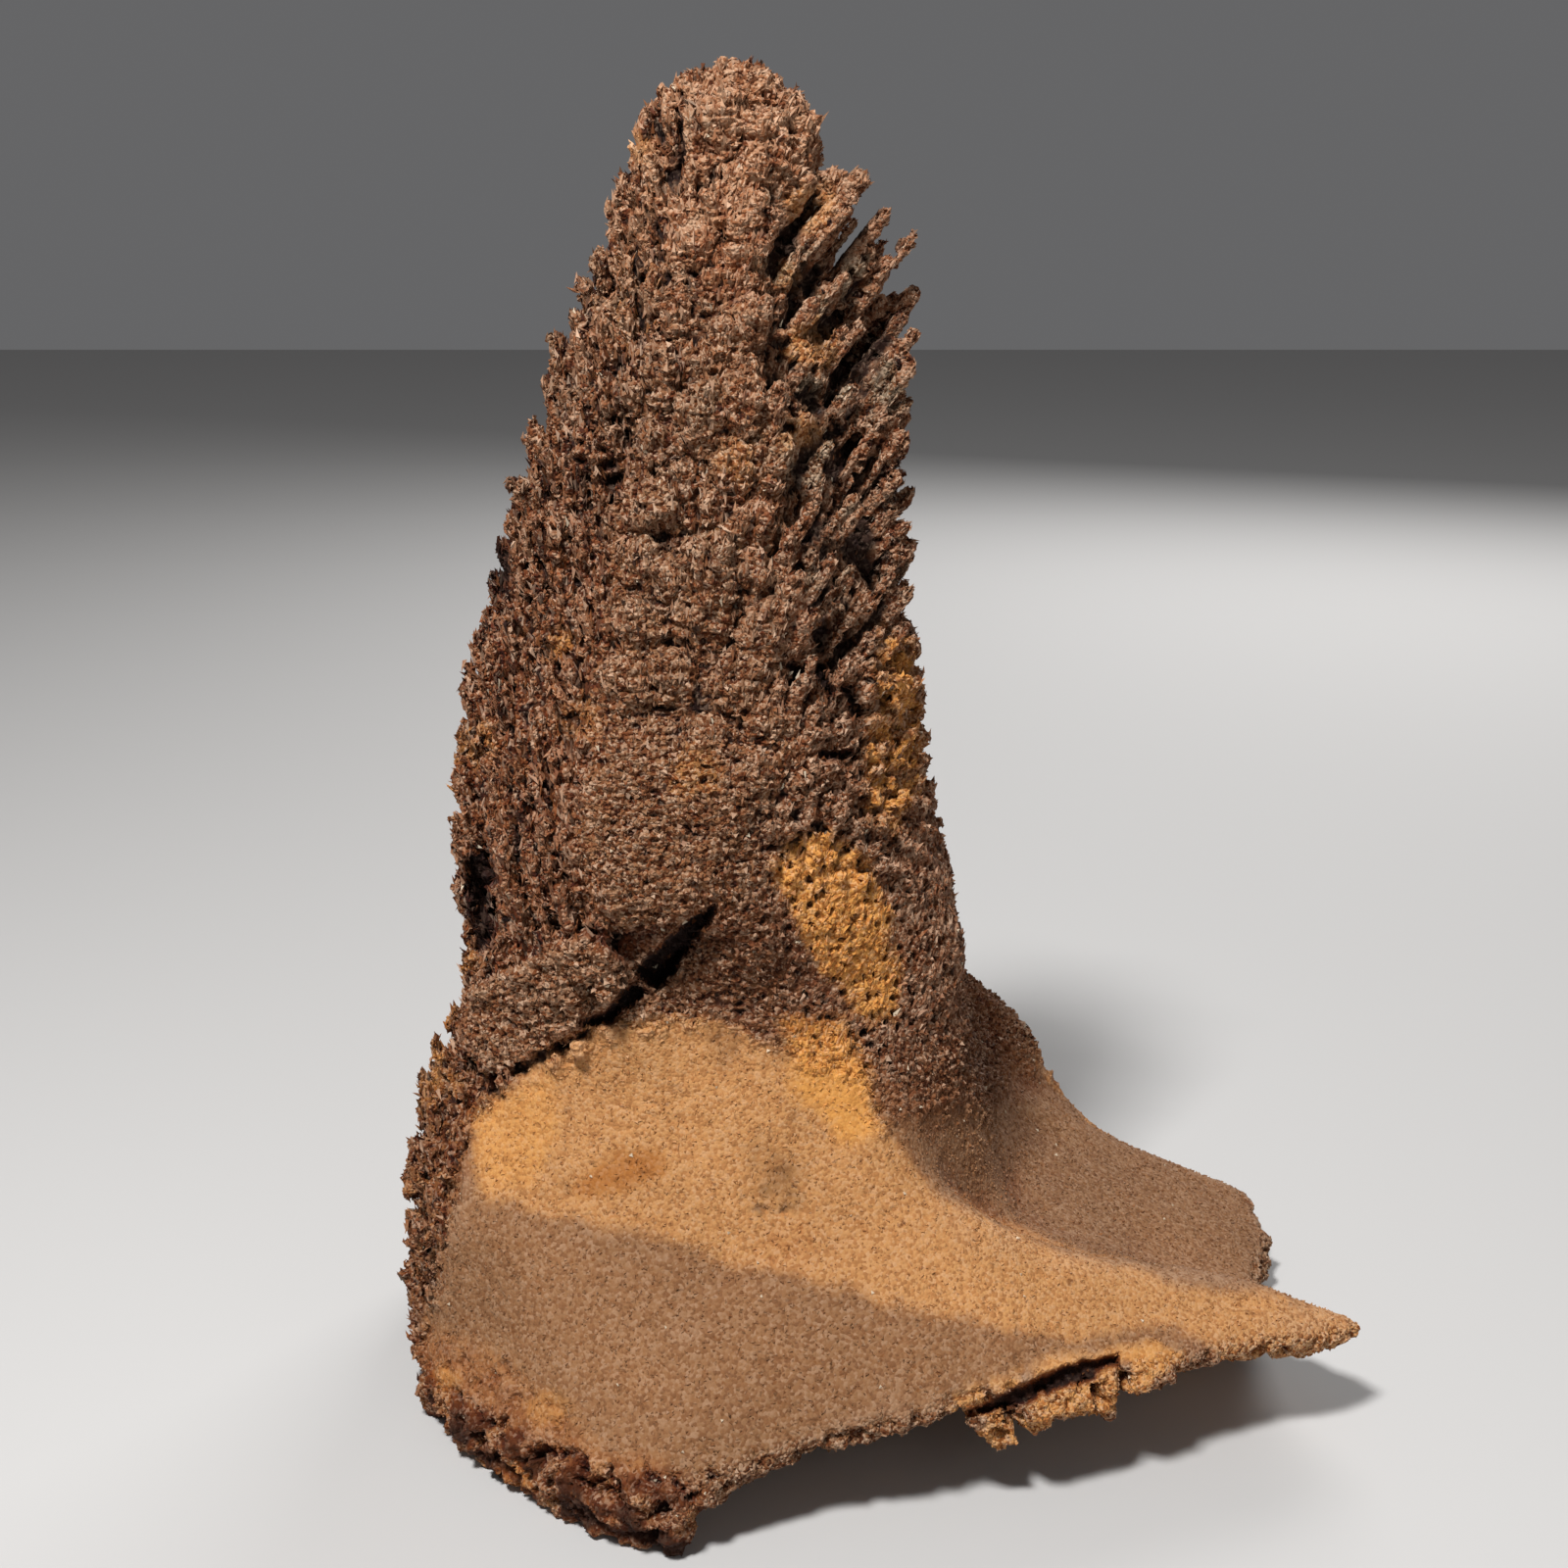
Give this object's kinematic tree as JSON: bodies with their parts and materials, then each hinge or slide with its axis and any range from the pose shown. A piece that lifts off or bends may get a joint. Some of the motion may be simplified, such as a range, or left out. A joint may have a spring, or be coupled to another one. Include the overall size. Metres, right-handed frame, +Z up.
{
  "type": "iron concretion",
  "caption": "Upright iron-cemented sand concretion: a tapering trunk of scaly, fibrous ledges on a thin flared foot with a pointed ridge, for display as a natural specimen",
  "frame": {"origin": "middle of the bounding box, on the surface that the concretion stands on", "axes": "+Z up along the trunk, +X towards the point of the ridge, -Y out of the broad front"},
  "size_m": [0.224, 0.1742, 0.3],
  "materials": {
    "ironstone": "rough, granular, unpolished"
  },
  "bodies": {
    "root": {"concretion": "ironstone"}
  },
  "joints": []
}
